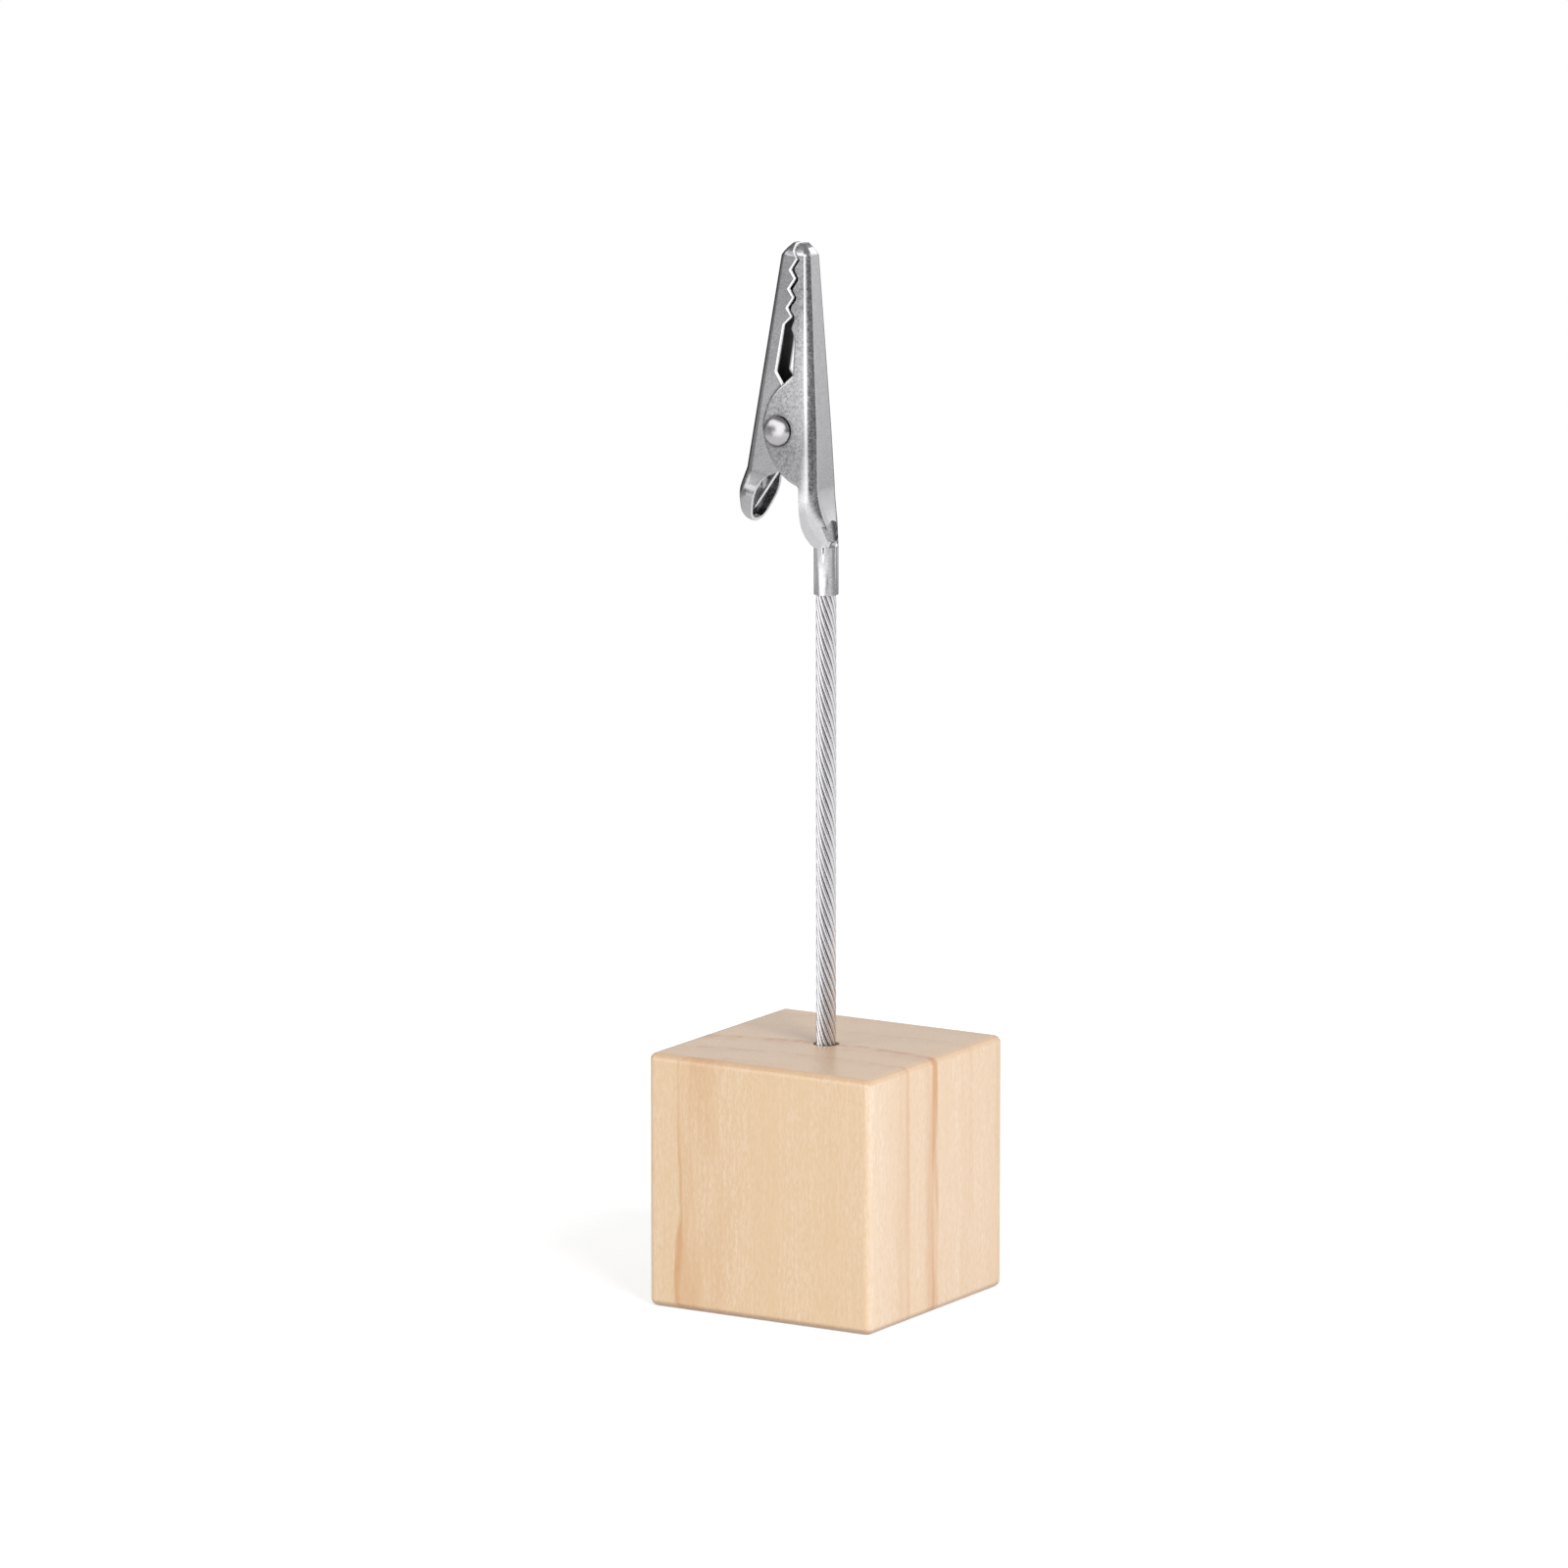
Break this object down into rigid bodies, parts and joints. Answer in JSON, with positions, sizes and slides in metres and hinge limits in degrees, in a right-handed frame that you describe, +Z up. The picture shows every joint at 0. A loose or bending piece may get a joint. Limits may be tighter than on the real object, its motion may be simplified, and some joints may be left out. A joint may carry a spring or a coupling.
{
  "type": "memo clip holder",
  "caption": "Wooden cube base with an upright wire-rope stem that carries a sprung, toothed clip, for holding a memo, card or photo on a desk.",
  "frame": {"origin": "middle of the cube's bottom face, on the surface that the holder stands on", "axes": "+Z up along the stem; the clip opens in the XZ plane, with the fixed jaw towards +X, the thumb tab towards -X and the pivot along Y"},
  "size_m": [0.03, 0.03, 0.1235],
  "materials": {
    "wood": "pale close-grained wood, satin lacquer",
    "glue": "set wood glue",
    "rope_steel": "bright drawn wire",
    "nickel": "nickel plate, satin",
    "spring_steel": "plated spring wire"
  },
  "bodies": {
    "stand": {"base_block": "wood", "glue_plug": "glue", "core_wire": "rope_steel", "inner_wire_1": "rope_steel", "inner_wire_2": "rope_steel", "inner_wire_3": "rope_steel", "inner_wire_4": "rope_steel", "inner_wire_5": "rope_steel", "inner_wire_6": "rope_steel", "outer_wire_1": "rope_steel", "outer_wire_2": "rope_steel", "outer_wire_3": "rope_steel", "outer_wire_4": "rope_steel", "outer_wire_5": "rope_steel", "outer_wire_6": "rope_steel", "outer_wire_7": "rope_steel", "outer_wire_8": "rope_steel", "outer_wire_9": "rope_steel", "outer_wire_10": "rope_steel", "outer_wire_11": "rope_steel", "outer_wire_12": "rope_steel", "fixed_jaw": "nickel", "pivot_rivet": "nickel", "jaw_spring": "spring_steel"},
    "moving_jaw": {"moving_jaw": "nickel"}
  },
  "joints": [
    {"name": "jaw_pivot", "type": "hinge", "parent": "stand", "child": "moving_jaw", "pos_m": [-0.005, 0, 0.1018], "axis": [0, -1, 0], "range_deg": [0, 35], "stiffness_Nm_per_rad": 0.002, "springref_deg": -45.84, "deforming": ["jaw_spring"]}
  ]
}
